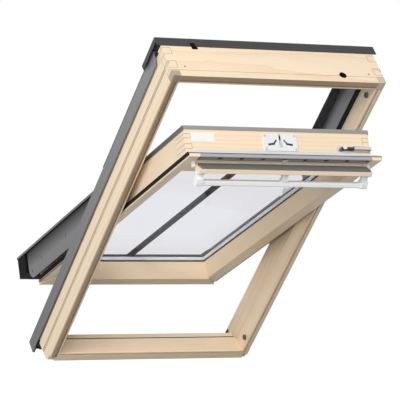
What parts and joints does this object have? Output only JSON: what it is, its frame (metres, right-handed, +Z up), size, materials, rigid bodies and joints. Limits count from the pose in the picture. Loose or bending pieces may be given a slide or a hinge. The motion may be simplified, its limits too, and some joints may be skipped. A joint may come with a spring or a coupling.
{
  "type": "roof skylight",
  "caption": "Timber centre-pivot roof window with grey metal covers, double glazing with a middle bar, a vent flap with control bar, a lock and a sliding bolt.",
  "frame": {"origin": "on the flat underside of the sill, in the middle of the frame's width and depth", "axes": "+X to the right seen from the room, +Y horizontally outdoors, +Z up; the frame leans at a roof pitch of 42.5 degrees"},
  "size_m": [0.57, 0.987, 0.7528],
  "materials": {
    "pine": "clear matt lacquer",
    "dark_cover": "satin",
    "grey_cladding": "satin",
    "bare_aluminium": "satin",
    "zinc": "zinc plated",
    "black_rubber": "matt",
    "grey_rubber": "matt",
    "clear_glass": "clear",
    "grey_plastic": "matt",
    "black_plastic": "matt",
    "white_plastic": "gloss",
    "white_bar": "gloss white",
    "label_film": "blank film"
  },
  "bodies": {
    "frame": {"frame_head": "pine", "frame_sill": "pine", "frame_jamb_left": "pine", "frame_jamb_right": "pine", "head_cover": "dark_cover", "side_cladding_left": "grey_cladding", "side_cladding_right": "grey_cladding", "upper_cover_left": "dark_cover", "upper_cover_right": "dark_cover", "jamb_seal_left": "black_rubber", "jamb_seal_right": "black_rubber", "sill_seal": "black_rubber", "pivot_plate_left": "zinc", "pivot_plate_right": "zinc", "bolt_bushings": "grey_plastic"},
    "sash": {"sash_top_rail": "pine", "sash_bottom_rail": "pine", "sash_stile_left": "pine", "sash_stile_right": "pine", "glazing_bar": "dark_cover", "sash_strip_left": "dark_cover", "sash_strip_right": "dark_cover", "sash_bottom_cover": "dark_cover", "side_cover_left": "dark_cover", "side_cover_right": "dark_cover", "side_plate_left": "grey_cladding", "side_plate_right": "grey_cladding", "sash_strip_top": "bare_aluminium", "vent_trim": "bare_aluminium", "pane_spacer": "bare_aluminium", "pivot_pin_left": "zinc", "pivot_pin_right": "zinc", "lock_plate": "zinc", "lock_screws": "zinc", "bolt_guide": "zinc", "glazing_seal": "black_rubber", "sash_seal": "black_rubber", "lower_seal_left": "black_rubber", "lower_seal_right": "black_rubber", "pane_inner": "clear_glass", "pane_outer": "clear_glass", "vent_grille": "grey_plastic", "flap_bearings": "grey_plastic", "cover_end_left": "black_plastic", "cover_end_right": "black_plastic", "face_trim": "white_plastic", "vent_rail": "white_plastic", "vent_clip": "white_plastic", "blank_label": "label_film"},
    "flap": {"vent_flap": "pine", "flap_seal": "grey_rubber", "control_bar": "white_bar", "bar_bracket_left": "white_plastic", "bar_bracket_centre": "white_plastic", "bar_bracket_right": "white_plastic"},
    "bolt": {"slide_bolt": "zinc"},
    "latch": {"lock_latch": "zinc"}
  },
  "joints": [
    {"name": "sash_pivot", "type": "hinge", "parent": "frame", "child": "sash", "pos_m": [0, -0.31357, 0.3816], "axis": [1, 0, 0], "range_deg": [-24.5, 135.5]},
    {"name": "flap_hinge", "type": "hinge", "parent": "sash", "child": "flap", "pos_m": [0, -0.7533, 0.42301], "axis": [1, 0, 0], "range_deg": [-40, 6]},
    {"name": "bolt_slide", "type": "slide", "parent": "sash", "child": "bolt", "axis": [1, 0, 0], "range_m": [0, 0.02]},
    {"name": "latch_slide", "type": "slide", "parent": "sash", "child": "latch", "axis": [0, 0.309, 0.9511], "range_m": [-0.0013, 0.0082]}
  ],
  "couplings": [
    {"joint": "latch_slide", "follows": "flap_hinge", "m_per_rad": -0.0115}
  ]
}
